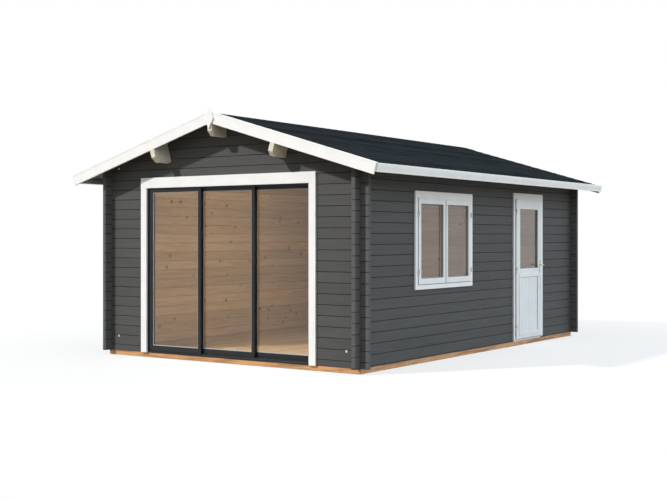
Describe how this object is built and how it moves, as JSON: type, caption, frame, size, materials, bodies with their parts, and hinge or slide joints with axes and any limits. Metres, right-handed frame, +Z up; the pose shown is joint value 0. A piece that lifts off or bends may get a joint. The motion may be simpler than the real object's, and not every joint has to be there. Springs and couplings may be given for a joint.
{
  "type": "log cabin",
  "caption": "Notched-log garden cabin with a low gable roof on purlins, a glazed sliding front, a side window and a half-glazed side door that opens outward.",
  "frame": {"origin": "middle of the footprint at ground level, under the foundation beams", "axes": "+Z up, -Y towards the sliding front, +X towards the wall with the window and the door"},
  "size_m": [4.3484, 6.052, 2.8259],
  "materials": {
    "foundation_timber": "impregnated, sawn",
    "floor_timber": "planed pine",
    "log_paint": "dark grey stain outside, bare pine inside",
    "pale_timber": "planed pine",
    "shingle": "mineral-faced bitumen felt",
    "white_paint": "satin white paint",
    "dark_aluminium": "anthracite powder coat",
    "clear_glass": "clear",
    "bright_steel": "satin"
  },
  "bodies": {
    "cabin": {"foundation_ends": "foundation_timber", "foundation_sides": "foundation_timber", "floor_joists": "foundation_timber", "floor_slab": "floor_timber", "front_odd_logs": "log_paint", "front_even_logs": "log_paint", "back_odd_logs": "log_paint", "back_even_logs": "log_paint", "left_odd_logs": "log_paint", "left_even_logs": "log_paint", "right_odd_logs": "log_paint", "right_even_logs": "log_paint", "ridge_purlin": "pale_timber", "side_purlins": "pale_timber", "roof_boards_left": "pale_timber", "roof_boards_right": "pale_timber", "shingles_left": "shingle", "shingles_right": "shingle", "ridge_strip_left": "shingle", "ridge_strip_right": "shingle", "barge_boards_left": "white_paint", "barge_boards_right": "white_paint", "barge_caps_left": "white_paint", "barge_caps_right": "white_paint", "gable_finials": "white_paint", "eave_boards": "white_paint", "trim_uprights": "white_paint", "trim_crosspieces": "white_paint", "window_frame": "white_paint", "window_casements": "white_paint", "door_frame": "white_paint", "slider_head": "dark_aluminium", "slider_sill": "dark_aluminium", "slider_jambs": "dark_aluminium", "window_glass": "clear_glass", "door_hinge_pins": "bright_steel"},
    "side_door": {"door_leaf": "white_paint", "door_glass": "clear_glass", "door_hinge_knuckles": "bright_steel", "handle_plates": "bright_steel"},
    "door_lever": {"door_lever": "bright_steel"},
    "left_panel": {"left_panel_frame": "dark_aluminium", "left_panel_glass": "clear_glass"},
    "middle_panel": {"middle_panel_frame": "dark_aluminium", "middle_panel_glass": "clear_glass"},
    "right_panel": {"right_panel_frame": "dark_aluminium", "right_panel_glass": "clear_glass"}
  },
  "joints": [
    {"name": "side_door_hinge", "type": "hinge", "parent": "cabin", "child": "side_door", "pos_m": [1.842, 0.8775, 1], "axis": [0, 0, -1], "range_deg": [0, 110]},
    {"name": "lever_turn", "type": "hinge", "parent": "side_door", "child": "door_lever", "pos_m": [1.835, 1.6075, 1.036], "axis": [1, 0, 0], "range_deg": [0, 40], "stiffness_Nm_per_rad": 2},
    {"name": "left_panel_slide", "type": "slide", "parent": "cabin", "child": "left_panel", "axis": [1, 0, 0], "range_m": [0, 1.496]},
    {"name": "middle_panel_slide", "type": "slide", "parent": "cabin", "child": "middle_panel", "axis": [1, 0, 0], "range_m": [-0.748, 0.748]},
    {"name": "right_panel_slide", "type": "slide", "parent": "cabin", "child": "right_panel", "axis": [-1, 0, 0], "range_m": [0, 1.496]}
  ]
}
